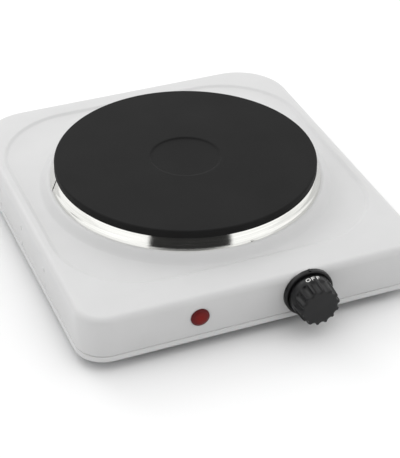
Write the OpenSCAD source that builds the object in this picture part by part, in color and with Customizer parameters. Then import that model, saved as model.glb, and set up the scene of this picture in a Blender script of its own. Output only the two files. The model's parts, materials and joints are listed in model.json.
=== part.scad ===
// Single electric hot plate: pressed steel housing, cast-iron cooking plate,
// stainless trim ring, bimetal thermostat with a knob, indicator lamp.
// Millimetres, +Z up, the knob on the -Y side, Z = 0 on the worktop.

/* [Housing] */
// Width of the housing over its side walls
body_w = 246; // [240:1:260]
// Depth of the housing from its front wall to its rear wall
body_d = 270.6; // [266:0.1:290]
// Height of the pressed shell, without the raised collar
shell_h = 33.3; // [33:0.1:40]
// Plan radius of the two front corners
front_corner_r = 20; // [16:1:30]
// Plan radius of the two rear corners
rear_corner_r = 40; // [24:1:45]
// Radius of the roll between the top panel and the walls
top_roll_r = 5; // [3:0.5:6]
// Thickness of the housing sheet
sheet = 0.8; // [0.6:0.1:1]
// Height of the folded hem along the lower edge
hem_h = 3.5; // [2:0.5:5]
// How far the hem stands proud of the wall
hem_out = 0.6; // [0.3:0.1:1]
// Rise of the round collar above the top panel
collar_rise = 4.7; // [4:0.1:5]
// Depth of the shallow pan pressed into the top panel around the plate
pan_depth = 1.1; // [0.8:0.1:1.3]

/* [Cooking plate] */
// Diameter of the cast-iron plate
plate_d = 187; // [184:1:188]
// Height of the plate's top face above the collar
plate_rise = 14; // [13:0.5:18]
// Radius of the shallow recess in the middle of the plate
recess_r = 25; // [20:1:30]
// Outer radius of the trim ring's foot
ring_foot_r = 96.8; // [96.6:0.1:98]

/* [Controls] */
// Sideways place of the knob
knob_x = 33; // [28:1:40]
// Sideways place of the indicator lamp
lamp_x = -43.8; // [-60:0.1:-30]
// Height of the knob and lamp axes above the shell's lower edge
dial_h = 18.3; // [17:0.1:20]
// Distance from the front wall to the knob's front face
knob_reach = 20.6; // [18:0.1:24]
// Radius of the fixed dial plate behind the knob
bezel_r = 18; // [17:0.5:18]
// Number of grip flutes round the knob
flute_count = 14; // [10:1:18]

/* [Underside] */
// Height of the shell's lower edge above the worktop
foot_h = 8; // [6:0.5:12]
// Sideways distance from the middle to each foot
foot_x = 95; // [85:1:100]
// Length of the vent slots in the base plate
vent_length = 34; // [20:1:40]

/* [Hidden] */
$fn = 96;
eps = 0.01;
roll_steps = 6;

// Heights above the worktop
z_edge = foot_h;
z_top = z_edge + shell_h;
z_collar = z_top + collar_rise;
z_pan = z_top - pan_depth;
z_plate = z_collar + plate_rise;
z_dial = z_edge + dial_h;
base_z = z_edge + 1.5;
base_t = 0.8;
floor_z = base_z + base_t;

// The housing stands behind the knob, so that the whole object is centred on Y = 0
gland_flange_t = 2.6;
body_y = (knob_reach - gland_flange_t) / 2;
front_y = -body_d / 2;
wall_y = front_y + sheet;
rear_y = body_d / 2;
side_x = body_w / 2 - sheet;

// Pressed pan, collar and plate opening
pan_half_w = 114;
pan_front_y = -107;
pan_rear_y = 118;
pan_corner_r = 60;
collar_r = 99;
collar_foot_r = 106;
plate_r = plate_d / 2;
opening_r = plate_r - 1;
plate_skirt_r = plate_r - 2.5;
plate_step_z = z_plate - 8;
plate_foot_z = z_plate - 16;
ring_t = 0.7;

// Heating element
coil_r = 2.6;
coil_z = z_plate - 11.5;
inner_coil_r = 54;
outer_coil_r = 77;
cement_z = z_plate - 15;
cover_t = 0.8;
pin_r = 1.5;
pin_x = 8;
pin_z = 30;
bead_r = 3.5;
bead_z = 40;

// Clamp across the housing
strap_z = 22;
strap_t = 2;
strap_y = 2;
strap_w = 24;
brace_pitch = 53;
brace_t = 1.2;
stud_r = 4;
sleeve_step_z = 37.9;
rivet_low_z = z_edge + 7.1;
rivet_high_z = z_edge + 19.9;
cutout_x = 45;

// Thermostat, stacked along Y behind the front wall
frame_t = 1.4;
frame_half_h = 10;
frame_left_x = knob_x - 17;
frame_right_x = knob_x + 31;
guide_y = front_y + 16.3;
guide_back_y = guide_y + frame_t;
stack_x = knob_x + 23.2;
stack_r = 4.5;
arm_y = guide_back_y + 3.2;
arm_t = 0.4;
fixed_blade_y = arm_y + arm_t + 3;
fixed_blade_t = 0.6;
bimetal_y = fixed_blade_y + fixed_blade_t + 3;
bimetal_t = 1;
stack_end_y = bimetal_y + bimetal_t + 2;
pivot_x = knob_x + 18.2;
contact_x = knob_x - 13;
blade_half_w = 4;
spindle_r = 3;
running_gap = 0.05;
push_pin_r = 1.6;
knuckle_r = 0.6;
bush_r = 5;
bush_hole_r = 5.6;
bush_back_y = front_y + 10.3;
spindle_end_y = front_y + 12.4;
tab_end_x = knob_x + 39;

// Knob and dial plate
dial_screw_x = 11.5;
dial_screw_r = 1.5;
screw_head_r = 2.8;
bezel_t = 3.4;
bezel_recess = 0.8;
bezel_rim_w = 2.1;
knob_front_y = front_y - knob_reach;
knob_back_y = front_y - bezel_t + 0.4;
knob_skirt_r = 15.1;
knob_tip_r = 14;

// Indicator lamp
lamp_hole_r = 5;

// Mains side
block_x = -60;
block_y = 104;
block_w = 36;
gland_r = 7;
gland_bore_r = 3.6;
gland_z = z_edge + 16.3;
foot_y_front = -108;
foot_y_rear = 105;
foot_r = 9;
earth_x = -20;
earth_y = 76;
wire_r = 1.5;
lamp_wire_r = 1;

// Wire routes, points chosen inside the housing
live_route = [
    [-70, 95, 17], [-72, 82, 17], [-84, 62, 19], [-98, 34, 24], [-102, 14, 28],
    [-102, -8, 28], [-98, -32, 23], [-90, -60, 18], [-66, -86, 17], [-30, -94, 17],
    [14, -94, 17], [50, -94, 19], [78, -98, 22], [84, -106, 23.5], [72, -110.7, 23.5]
];
switched_route = [
    [72, -114.2, 29], [86, -110, 29], [95, -94, 28], [96, -70, 26], [86, -44, 25],
    [66, -26, 26], [50, -20, 26.4], [45, -13, 26.4]
];
element_route = [
    [45, 17, 26.4], [44, 27, 27], [34, 33, 28], [22, 28, 30], [15, 12, 32],
    [13, -8, 33], [11, -30, 32.5], [8, -51.9, 32]
];
neutral_route = [
    [-60, 95, 17], [-60, 80, 17.5], [-56, 56, 19], [-46, 34, 23], [-34, 18, 27],
    [-25, 0, 29], [-18, -20, 30], [-11, -38, 31.5], [-8, -51.9, 32]
];
lamp_live_route = [
    [-41.8, -111.5, 26.3], [-41, -105, 26.5], [-30, -99, 28], [0, -97, 31], [36, -96, 32],
    [56, -96, 31], [65, -102, 29.5], [66, -113.8, 29]
];
lamp_neutral_route = [
    [-45.8, -111.5, 26.3], [-46, -103, 27], [-42, -94, 29], [-30, -85, 31], [-18, -77, 31.5],
    [-9.5, -75.6, 31.5]
];
earth_route = [
    [-50, 95, 17], [-49, 87, 17], [-44, 80, 15], [-36, 76.5, 12.4], [-27.5, 76, 11.8]
];

// ---------------------------------------------------------------- helpers

// Moves a piece from the plate's axis to its place in the object's frame
module in_body() {
    translate([0, body_y, 0]) children();
}

// Solid rod along +Y from y0 to y1
module rod_y(x, y0, y1, z, r) {
    translate([x, y0, z]) rotate([-90, 0, 0]) cylinder(h = y1 - y0, r = r);
}

// Solid rod along +Z from z0 to z1
module rod_z(x, y, z0, z1, r) {
    translate([x, y, z0]) cylinder(h = z1 - z0, r = r);
}

// Box between two corners
module box(low, high) {
    translate(low) cube(high - low);
}

// Housing outline in plan, pulled in by inset all round
module plan(inset) {
    x = body_w / 2 - inset;
    y = body_d / 2 - inset;
    f = front_corner_r - inset;
    r = rear_corner_r - inset;
    polygon([
        [-x + f, -y], [x - f, -y], [x, -y + f], [x, y - r],
        [x - r, y], [-x + r, y], [-x, y - r], [-x, -y + f]
    ]);
    for (side = [-1, 1]) {
        translate([side * (x - f), -y + f]) circle(f);
        translate([side * (x - r), y - r]) circle(r);
    }
}

// Section through a wall of the block: depth inward, rolled top outer edge
function roll_section(depth, z0, z1, roll) = concat(
    [[0, z0], [depth, z0]],
    [for (k = [0:roll_steps]) let (a = 90 * k / roll_steps)
        [depth - roll + roll * cos(a), z1 - roll + roll * sin(a)]],
    [[0, z1]]
);

// Block with the housing's outline and a rolled top edge
module rolled_block(inset, z0, z1, roll) {
    front_r = front_corner_r - inset;
    rear_r = rear_corner_r - inset;
    front_x = body_w / 2 - front_corner_r;
    rear_x = body_w / 2 - rear_corner_r;
    front_end = front_corner_r - body_d / 2;
    rear_end = body_d / 2 - rear_corner_r;
    front_section = roll_section(front_r, z0, z1, roll);
    rear_section = roll_section(rear_r, z0, z1, roll);
    box([-front_x, front_end, z0], [front_x, rear_end, z1]);
    straight_edge(front_x, rear_end, 0, rear_end - front_end, front_section);
    straight_edge(-front_x, front_end, 180, rear_end - front_end, front_section);
    straight_edge(front_x, front_end, -90, 2 * front_x, front_section);
    straight_edge(-rear_x, rear_end, 90, 2 * rear_x, rear_section);
    round_corner(front_x, front_end, -90, front_section);
    round_corner(-front_x, front_end, 180, front_section);
    round_corner(rear_x, rear_end, 0, rear_section);
    round_corner(-rear_x, rear_end, 90, rear_section);
}

module straight_edge(x, y, turn, length, section) {
    translate([x, y, 0]) rotate([0, 0, turn]) rotate([90, 0, 0]) linear_extrude(length)
        polygon(section);
}

module round_corner(x, y, turn, section) {
    translate([x, y, 0]) rotate([0, 0, turn]) rotate_extrude(angle = 90) polygon(section);
}

// Hexagonal nut or head with its axis on Z
module hexagon(z0, z1, across_flats) {
    translate([0, 0, z0]) cylinder(h = z1 - z0, r = across_flats / sqrt(3), $fn = 6);
}

// Points of a smooth curve through the route's points
function spline_point(a, b, c, d, t) =
    0.5 * (2 * b + (c - a) * t + (2 * a - 5 * b + 4 * c - d) * t * t
    + (3 * b - a - 3 * c + d) * t * t * t);
function smooth(p, steps = 4) = concat(
    [for (i = [0:len(p) - 2], s = [0:steps - 1])
        spline_point(p[max(i - 1, 0)], p[i], p[i + 1], p[min(i + 2, len(p) - 1)], s / steps)],
    [p[len(p) - 1]]
);
function unit(v) = v / norm(v);

// Round insulated wire along a route that is never vertical
module wire(route, r) {
    path = smooth(route);
    last = len(path) - 1;
    sides = 8;
    rings = [for (i = [0:last])
        let (
            t = unit(path[min(i + 1, last)] - path[max(i - 1, 0)]),
            across = unit(cross(t, [0, 0, 1])),
            up = cross(across, t)
        )
        for (k = [0:sides - 1])
            path[i] + r * (across * cos(360 * k / sides) + up * sin(360 * k / sides))
    ];
    walls = [for (i = [0:last - 1], k = [0:sides - 1])
        let (n = (k + 1) % sides)
        [i * sides + k, i * sides + n, (i + 1) * sides + n, (i + 1) * sides + k]
    ];
    start_cap = [[for (k = [sides - 1:-1:0]) k]];
    end_cap = [[for (k = [0:sides - 1]) last * sides + k]];
    polyhedron(points = rings, faces = concat(walls, start_cap, end_cap));
}

// ---------------------------------------------------------------- casing

module collar_block(r_top, r_foot, z0, z1, z2) {
    rotate_extrude() polygon([[0, z0], [r_foot, z0], [r_foot, z1], [r_top, z2], [0, z2]]);
}

// Space of the pressed pan from z upward, grown sideways by grow
module pan(grow, z) {
    x = pan_half_w + grow;
    front = pan_front_y - grow;
    rear = pan_rear_y + grow;
    r = pan_corner_r + grow;
    translate([0, 0, z]) linear_extrude(z_collar - z) {
        polygon([
            [r - x, front], [x - r, front], [x, front + r], [x, rear - r],
            [x - r, rear], [r - x, rear], [-x, rear - r], [-x, front + r]
        ]);
        for (side = [-1, 1], y = [front + r, rear - r]) {
            translate([side * (x - r), y]) circle(r);
        }
    }
}

module top_housing() {
    under_roll = z_top - top_roll_r;
    color([0.9, 0.9, 0.9]) in_body() difference() {
        union() {
            difference() {
                rolled_block(0, z_edge, z_top, top_roll_r);
                pan(0, z_pan);
            }
            translate([0, 0, z_edge]) linear_extrude(hem_h) plan(-hem_out);
            collar_block(collar_r, collar_foot_r, under_roll, z_pan, z_collar);
        }
        difference() {
            rolled_block(sheet, z_edge - 1, z_top - sheet, top_roll_r - sheet);
            pan(sheet, z_pan - sheet);
        }
        collar_block(collar_r - sheet, collar_foot_r - sheet, under_roll, z_pan - sheet,
            z_collar - sheet);
        rod_z(0, 0, z_pan, z_collar + 1, opening_r);
        rod_y(knob_x, front_y - 1, wall_y + 1, z_dial, bush_hole_r);
        for (side = [-1, 1]) {
            rod_y(knob_x + side * dial_screw_x, front_y - 1, wall_y + 1, z_dial, dial_screw_r);
        }
        rod_y(lamp_x, front_y - 1, wall_y + 1, z_dial, lamp_hole_r);
        rod_y(block_x, rear_y - sheet - 1, rear_y + 1, gland_z, gland_r);
        rivet_shanks();
    }
}

module vent_slot(x, y) {
    translate([x, y, base_z - 1]) linear_extrude(base_t + 2) {
        square([3.4, vent_length], center = true);
        for (end = [-1, 1]) {
            translate([0, end * vent_length / 2]) circle(1.7);
        }
    }
}

module base_plate() {
    color([0.62, 0.63, 0.64]) in_body() difference() {
        translate([0, 0, base_z]) linear_extrude(base_t) plan(sheet + 0.4);
        for (x = [-66:12:66]) {
            vent_slot(x, -24);
            vent_slot(x, 28);
        }
        foot_positions() rod_z(0, 0, base_z - 1, floor_z + 1, 2);
        base_screw_positions() rod_z(0, 0, base_z - 1, floor_z + 1, 1.75);
        rod_z(earth_x, earth_y, base_z - 1, floor_z + 1, 2);
    }
}

module foot_positions() {
    for (side = [-1, 1], y = [foot_y_front, foot_y_rear]) {
        translate([side * foot_x, y, 0]) children();
    }
}

module base_screw_positions() {
    for (side = [-1, 1], end = [-1, 1]) {
        translate([side * 100, strap_y + end * brace_pitch, 0]) children();
    }
}

module base_screws() {
    color([0.75, 0.75, 0.76]) in_body() base_screw_positions() {
        difference() {
            rod_z(0, 0, base_z - 1.3, base_z, 3.4);
            box([-2.4, -0.4, base_z - 2], [2.4, 0.4, base_z - 0.7]);
        }
        rod_z(0, 0, base_z - eps, floor_z + 4, 1.75);
    }
}

module foot(side, y) {
    color([0.12, 0.12, 0.12]) in_body() translate([side * foot_x, y, 0]) difference() {
        rotate_extrude() polygon([
            [0, 0], [foot_r - 1.5, 0], [foot_r - 0.8, 0.7], [foot_r, base_z - 2],
            [foot_r, base_z], [0, base_z]
        ]);
        rod_z(0, 0, -1, 4.5, 4.5);
        rod_z(0, 0, 4, base_z + 1, 2);
    }
}

module foot_front_left() {
    foot(-1, foot_y_front);
}

module foot_front_right() {
    foot(1, foot_y_front);
}

module foot_rear_left() {
    foot(-1, foot_y_rear);
}

module foot_rear_right() {
    foot(1, foot_y_rear);
}

module foot_screws() {
    color([0.75, 0.75, 0.76]) in_body() foot_positions() {
        difference() {
            rod_z(0, 0, 2.3, 4.5, 3.8);
            box([-2.6, -0.5, 2], [2.6, 0.5, 3.3]);
            box([-0.5, -2.6, 2], [0.5, 2.6, 3.3]);
        }
        rod_z(0, 0, 4.5 - eps, floor_z + 4.5, 2);
    }
}

// ---------------------------------------------------------------- cross members

// Strap from side wall to side wall with a flange up each wall
module cross_strap(y, width, z, thickness, flange_low, flange_high) {
    box([-side_x, y - width / 2, z], [side_x, y + width / 2, z + thickness]);
    for (side = [-1, 1]) {
        inner = side * side_x - (side > 0 ? thickness : 0);
        box([inner, y - width / 2, flange_low], [inner + thickness, y + width / 2, flange_high]);
    }
}

module rivet_shanks() {
    for (side = [-1, 1], row = [-1, 0, 1], z = [rivet_low_z, rivet_high_z]) {
        translate([side * (side_x - 5), strap_y + row * brace_pitch, z])
            rotate([0, side * 90, 0]) cylinder(h = 10, r = 1.2);
    }
}

module side_rivets() {
    color([0.85, 0.85, 0.85]) in_body()
    for (side = [-1, 1], row = [-1, 0, 1], z = [rivet_low_z, rivet_high_z]) {
        tail = row == 0 ? strap_t : brace_t;
        translate([side * body_w / 2, strap_y + row * brace_pitch, z]) rotate([0, side * 90, 0])
            rotate_extrude() polygon([
                [0, -sheet - tail - 1], [2, -sheet - tail - 1], [2, -sheet - tail],
                [1.2, -sheet - tail], [1.2, 0], [1.7, 0], [1.3, 0.4], [0, 0.4]
            ]);
    }
}

module brace(end) {
    color([0.66, 0.67, 0.68]) in_body() difference() {
        cross_strap(strap_y + end * brace_pitch, 14, floor_z, brace_t, floor_z, z_edge + 24);
        rivet_shanks();
        base_screw_positions() rod_z(0, 0, base_z, floor_z + 5, 1.75);
    }
}

module front_brace() {
    brace(-1);
}

module rear_brace() {
    brace(1);
}

module clamp_bracket() {
    color([0.66, 0.67, 0.68]) in_body() difference() {
        cross_strap(strap_y, strap_w, strap_z, strap_t, z_edge + 4, z_edge + 24);
        rivet_shanks();
        rod_z(0, 0, strap_z - 1, strap_z + strap_t + 1, stud_r + 0.1);
    }
}

module clamp_washer() {
    color([0.7, 0.7, 0.72]) in_body() difference() {
        rod_z(0, 0, strap_z - 1.6, strap_z, 9);
        rod_z(0, 0, strap_z - 3, strap_z + 1, stud_r);
    }
}

module clamp_nut() {
    color([0.75, 0.75, 0.76]) in_body() difference() {
        hexagon(strap_z - 8, strap_z - 1.6, 13);
        rod_z(0, 0, strap_z - 10, strap_z, stud_r);
    }
}

module centre_stud() {
    color([0.7, 0.7, 0.72]) in_body() rod_z(0, 0, strap_z - 9.5, z_plate - 6, stud_r);
}

module stud_sleeve() {
    color([0.68, 0.68, 0.7]) in_body() difference() {
        union() {
            rod_z(0, 0, strap_z + strap_t, sleeve_step_z, 7);
            rod_z(0, 0, sleeve_step_z - eps, z_plate - 14, 5.5);
        }
        rod_z(0, 0, strap_z, z_plate - 10, stud_r + 0.2);
    }
}

// ---------------------------------------------------------------- cooking plate

module cast_iron_plate() {
    color([0.16, 0.16, 0.17]) in_body() rotate_extrude($fn = 180) polygon([
        [0, z_plate - 1], [recess_r - 0.6, z_plate - 1], [recess_r + 0.4, z_plate],
        [plate_r - 1.5, z_plate], [plate_r - 0.5, z_plate - 0.4], [plate_r, z_plate - 1.4],
        [plate_r, plate_step_z], [plate_skirt_r, plate_step_z], [plate_skirt_r, plate_foot_z],
        [86, plate_foot_z], [86, plate_step_z], [68, plate_step_z], [68, plate_foot_z + 0.6],
        [64, plate_foot_z + 0.6], [64, plate_step_z], [44, plate_step_z],
        [44, plate_foot_z + 0.6], [40, plate_foot_z + 0.6], [40, plate_step_z],
        [14, plate_step_z], [14, z_plate - 14], [stud_r, z_plate - 14],
        [stud_r, z_plate - 6], [0, z_plate - 6]
    ]);
}

module trim_ring() {
    color([0.8, 0.8, 0.81]) in_body() rotate_extrude($fn = 180) polygon([
        [plate_skirt_r, plate_step_z], [plate_skirt_r, plate_step_z - ring_t],
        [plate_r - 0.2, plate_step_z - ring_t], [plate_r + 1.7, z_collar + 1.9],
        [plate_r + 2.6, z_collar], [ring_foot_r, z_collar], [ring_foot_r, z_collar + 0.2],
        [plate_r + 2.5, z_collar + 1.9], [plate_r + 2.5, z_collar + 2.4],
        [plate_r + 0.4, plate_step_z + 1.9], [plate_r + 0.1, plate_step_z + 2.4],
        [plate_r, plate_step_z + 2.4], [plate_r, plate_step_z]
    ]);
}

module heating_coil(radius) {
    gap = asin(pin_x / radius);
    rotate([0, 0, gap - 90]) rotate_extrude(angle = 360 - 2 * gap)
        translate([radius, coil_z]) circle(coil_r);
}

module inner_heating_coil() {
    color([0.45, 0.42, 0.4]) in_body() heating_coil(inner_coil_r);
}

module outer_heating_coil() {
    color([0.45, 0.42, 0.4]) in_body() heating_coil(outer_coil_r);
}

module pin_positions() {
    for (side = [-1, 1], radius = [inner_coil_r, outer_coil_r]) {
        translate([side * pin_x, -sqrt(radius * radius - pin_x * pin_x), 0]) children();
    }
}

module cement_ring(r_in, r_out, coil_ring_r) {
    rotate_extrude() difference() {
        translate([r_in, cement_z]) square([r_out - r_in, plate_step_z - cement_z]);
        translate([coil_ring_r, coil_z]) circle(coil_r);
    }
}

module insulating_cement() {
    color([0.8, 0.76, 0.68]) in_body() difference() {
        union() {
            cement_ring(44, 64, inner_coil_r);
            cement_ring(68, 86, outer_coil_r);
        }
        pin_positions() rod_z(0, 0, cement_z - 1, coil_z, pin_r);
    }
}

module heater_cover() {
    color([0.6, 0.6, 0.6]) in_body() difference() {
        rod_z(0, 0, plate_foot_z - cover_t, plate_foot_z, plate_skirt_r - 0.4);
        rod_z(0, 0, plate_foot_z - 2, plate_foot_z + 1, 8);
        pin_positions() rod_z(0, 0, plate_foot_z - 2, plate_foot_z + 1, bead_r);
    }
}

module element_pins() {
    color([0.7, 0.68, 0.62]) in_body() pin_positions()
        rod_z(0, 0, pin_z, coil_z - coil_r, pin_r);
}

module ceramic_beads() {
    color([0.93, 0.9, 0.84]) in_body() pin_positions() difference() {
        rod_z(0, 0, bead_z, cement_z, bead_r);
        rod_z(0, 0, bead_z - 1, cement_z + 1, pin_r);
    }
}

module coil_links() {
    near_y = sqrt(inner_coil_r * inner_coil_r - pin_x * pin_x) + pin_r;
    far_y = sqrt(outer_coil_r * outer_coil_r - pin_x * pin_x) - pin_r;
    color([0.7, 0.68, 0.62]) in_body() for (side = [-1, 1]) {
        rod_y(side * pin_x, -far_y, -near_y, pin_z + 5, 0.9);
    }
}

module heat_shield() {
    color([0.72, 0.73, 0.74]) in_body() difference() {
        rod_z(0, 0, sleeve_step_z, sleeve_step_z + 4, 86);
        rod_z(0, 0, sleeve_step_z + 0.6, sleeve_step_z + 5, 85.4);
        rod_z(0, 0, sleeve_step_z - 1, sleeve_step_z + 2, 5.5);
        box([-15, -82.5, sleeve_step_z - 1], [15, -46, sleeve_step_z + 2]);
    }
}

module thermal_cutout() {
    low = strap_z + strap_t;
    color([0.85, 0.8, 0.7]) in_body() {
        rod_z(cutout_x, strap_y, low, low + 5, 7.5);
        box([cutout_x - 3, strap_y - 15, low + 2], [cutout_x + 3, strap_y + 15, low + 2.8]);
    }
}

module cutout_clip() {
    low = strap_z + strap_t;
    color([0.7, 0.7, 0.72]) in_body() difference() {
        box([cutout_x - 13, strap_y - 3, low], [cutout_x + 13, strap_y + 3, low + 5.8]);
        box([cutout_x - 8.2, strap_y - 4, low - 1], [cutout_x + 8.2, strap_y + 4, low + 5]);
        for (side = [-1, 1]) {
            outer = cutout_x + side * 13;
            box([outer - (side > 0 ? 4 : 1), strap_y - 4, low + 0.8],
                [outer + (side > 0 ? 1 : 4), strap_y + 4, low + 7]);
        }
    }
}

// ---------------------------------------------------------------- thermostat

module thermostat_frame() {
    low = z_dial - frame_half_h;
    high = z_dial + frame_half_h;
    color([0.7, 0.7, 0.72]) in_body() difference() {
        union() {
            box([frame_left_x, wall_y, low], [frame_right_x, wall_y + frame_t, high]);
            box([frame_right_x - frame_t, wall_y, low + 4], [frame_right_x, guide_back_y, high - 4]);
            box([knob_x - 5, guide_y, low + 5], [frame_right_x, guide_back_y, high - 5]);
        }
        rod_y(knob_x, wall_y - 1, wall_y + 3, z_dial, bush_r);
        for (side = [-1, 1]) {
            rod_y(knob_x + side * dial_screw_x, wall_y - 1, wall_y + 3, z_dial, dial_screw_r);
        }
        rod_y(knob_x, guide_y - 1, guide_back_y + 1, z_dial, push_pin_r + running_gap);
        rod_y(stack_x, guide_y - 1, guide_back_y + 1, z_dial, 2);
    }
}

module thermostat_bush() {
    color([0.8, 0.68, 0.4]) in_body() difference() {
        union() {
            rod_y(knob_x, front_y - 1.6, bush_back_y, z_dial, bush_r);
            rod_y(knob_x, wall_y + frame_t, wall_y + frame_t + 1.5, z_dial, 8);
        }
        rod_y(knob_x, front_y - 3, bush_back_y + 1, z_dial, spindle_r + running_gap);
    }
}

module thermostat_screws() {
    floor_y = front_y - bezel_t + bezel_recess;
    color([0.7, 0.7, 0.72]) in_body() for (side = [-1, 1]) {
        x = knob_x + side * dial_screw_x;
        rod_y(x, floor_y + 0.1, floor_y + 1.7, z_dial, screw_head_r);
        rod_y(x, floor_y + 1.7 - eps, wall_y + frame_t + 3, z_dial, dial_screw_r);
    }
}

module stack_insulators() {
    color([0.93, 0.9, 0.84]) in_body() difference() {
        union() {
            rod_y(stack_x, guide_back_y, arm_y, z_dial, stack_r);
            rod_y(stack_x, arm_y + arm_t, fixed_blade_y, z_dial, stack_r);
            rod_y(stack_x, fixed_blade_y + fixed_blade_t, bimetal_y, z_dial, stack_r);
            rod_y(stack_x, bimetal_y + bimetal_t, stack_end_y, z_dial, stack_r);
        }
        rod_y(stack_x, guide_back_y - 1, stack_end_y + 1, z_dial, 2);
    }
}

module stack_rivet() {
    color([0.75, 0.75, 0.76]) in_body() {
        rod_y(stack_x, guide_y - 1.5, guide_y, z_dial, 3.4);
        rod_y(stack_x, guide_y - eps, stack_end_y + eps, z_dial, 2);
        rod_y(stack_x, stack_end_y, stack_end_y + 1.5, z_dial, 3.4);
    }
}

// Flat blade in the stack, with a push-on tab above or below the middle
module stack_blade(left_x, y, thickness, tab_low) {
    difference() {
        union() {
            box([left_x, y, z_dial - blade_half_w],
                [stack_x + stack_r, y + thickness, z_dial + blade_half_w]);
            box([stack_x, y, z_dial + tab_low], [tab_end_x, y + thickness, z_dial + tab_low + 4]);
        }
        rod_y(stack_x, y - 1, y + thickness + 1, z_dial, 2);
    }
}

module contact_blade_root() {
    color([0.82, 0.6, 0.35]) in_body()
        stack_blade(pivot_x + knuckle_r + 0.3, arm_y, arm_t, 0.7);
}

module fixed_contact_blade() {
    color([0.82, 0.6, 0.35]) in_body() {
        stack_blade(contact_x - 4, fixed_blade_y, fixed_blade_t, -4.8);
        rod_y(contact_x, fixed_blade_y - 0.5, fixed_blade_y + eps, z_dial, 2);
    }
}

module bimetal_strip() {
    color([0.6, 0.6, 0.58]) in_body() difference() {
        box([contact_x - 2, bimetal_y, z_dial - blade_half_w],
            [stack_x + stack_r, bimetal_y + bimetal_t, z_dial + blade_half_w]);
        rod_y(stack_x, bimetal_y - 1, bimetal_y + bimetal_t + 1, z_dial, 2);
    }
}

// Spring arm with a rolled bead on its bend line and a silver contact at its tip
module contact_arm() {
    low = z_dial - blade_half_w + 0.5;
    high = z_dial + blade_half_w - 0.5;
    color([0.82, 0.6, 0.35]) in_body() {
        box([contact_x - 4, arm_y, low], [pivot_x, arm_y + arm_t, high]);
        rod_z(pivot_x, arm_y + arm_t / 2, low, high, knuckle_r);
        rod_y(contact_x, arm_y + arm_t - eps, arm_y + arm_t + 0.8, z_dial, 2);
    }
}

module push_pin() {
    color([0.93, 0.9, 0.84]) in_body()
        rod_y(knob_x, spindle_end_y + 0.3, arm_y - 0.3, z_dial, push_pin_r);
}

module spindle() {
    tip_y = knob_front_y + 6.4;
    color([0.72, 0.72, 0.74]) in_body() {
        difference() {
            rod_y(knob_x, tip_y, spindle_end_y, z_dial, spindle_r);
            box([knob_x - 4, tip_y - 1, z_dial + 1.5], [knob_x + 4, knob_back_y - 1, z_dial + 4]);
        }
        rod_y(knob_x, bush_back_y + 0.3, bush_back_y + 1.6, z_dial, 4.6);
    }
}

// ---------------------------------------------------------------- knob and dial plate

module knob_bezel() {
    face = bezel_t - bezel_recess;
    color([0.1, 0.1, 0.1]) in_body() difference() {
        union() {
            translate([knob_x, front_y, z_dial]) rotate([90, 0, 0]) rotate_extrude() polygon([
                [0, 0], [bezel_r, 0], [bezel_r, bezel_t - 0.6], [bezel_r - 0.6, bezel_t],
                [bezel_r - bezel_rim_w, bezel_t], [bezel_r - bezel_rim_w, face], [0, face]
            ]);
            box([knob_x - 0.8, front_y - bezel_t + 0.4, z_dial + bezel_r - 0.6],
                [knob_x + 0.8, front_y, z_dial + bezel_r + 0.7]);
        }
        box([knob_x - bezel_r, front_y - hem_out - 0.1, z_edge],
            [knob_x + bezel_r, front_y + 1, z_edge + hem_h + 0.1]);
        rod_y(knob_x, front_y - 5, front_y + 1, z_dial, bush_r + 0.4);
        for (side = [-1, 1]) {
            x = knob_x + side * dial_screw_x;
            rod_y(x, front_y - 5, front_y + 1, z_dial, dial_screw_r);
            rod_y(x, front_y - 5, front_y - face + 1.7, z_dial, screw_head_r + 0.2);
        }
    }
}

module knob() {
    length = knob_back_y - knob_front_y;
    hub_r = 6;
    color([0.1, 0.1, 0.1]) in_body() translate([knob_x, knob_back_y, z_dial])
    rotate([90, 0, 0]) difference() {
        rotate_extrude() polygon([
            [0, 0], [knob_skirt_r - 0.5, 0], [knob_skirt_r, 0.5], [knob_skirt_r, 2],
            [knob_tip_r, length - 2.2], [knob_tip_r - 0.7, length - 0.7],
            [knob_tip_r - 2.2, length], [0, length]
        ]);
        for (k = [0:flute_count - 1]) {
            rotate([0, 0, 360 * (k + 0.5) / flute_count]) translate([knob_tip_r + 1.1, 0, 7])
                cylinder(h = length, r = 2);
        }
        difference() {
            translate([0, 0, -1]) cylinder(h = length - 1.5, r = 11.6);
            cylinder(h = length, r = hub_r);
        }
        difference() {
            translate([0, 0, -1]) cylinder(h = length - 4, r = spindle_r + running_gap);
            box([-4, 1.55, 0.9], [4, 4, length]);
        }
        box([-2.6, 3.2, -1], [2.6, 3.8, 10]);
    }
}

module knob_spring_clip() {
    color([0.75, 0.75, 0.76]) in_body()
        box([knob_x - 2.5, knob_back_y - 9.9, z_dial + 3.25],
            [knob_x + 2.5, knob_back_y, z_dial + 3.75]);
}

// ---------------------------------------------------------------- indicator lamp

module lamp_lens() {
    color([0.6, 0.05, 0.05]) in_body() translate([lamp_x, front_y, z_dial])
    rotate([90, 0, 0]) rotate_extrude() polygon([
        [0, 0.9], [3.6, 0.6], [3.9, 0], [3.9, -12], [5, -12], [5, 0], [6.5, 0],
        [6.5, 0.8], [6.1, 1.4], [4.6, 2], [2.4, 2.3], [0, 2.4]
    ]);
}

module neon_bulb() {
    color([0.85, 0.5, 0.35]) in_body() rod_y(lamp_x, front_y + 2, front_y + 13, z_dial, 2.4);
}

module lamp_body() {
    color([0.9, 0.88, 0.84]) in_body() {
        rod_y(lamp_x, front_y + 13, front_y + 16, z_dial, 5);
        rod_y(lamp_x, front_y + 16 - eps, front_y + 23.8, z_dial, 4.2);
    }
}

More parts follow.
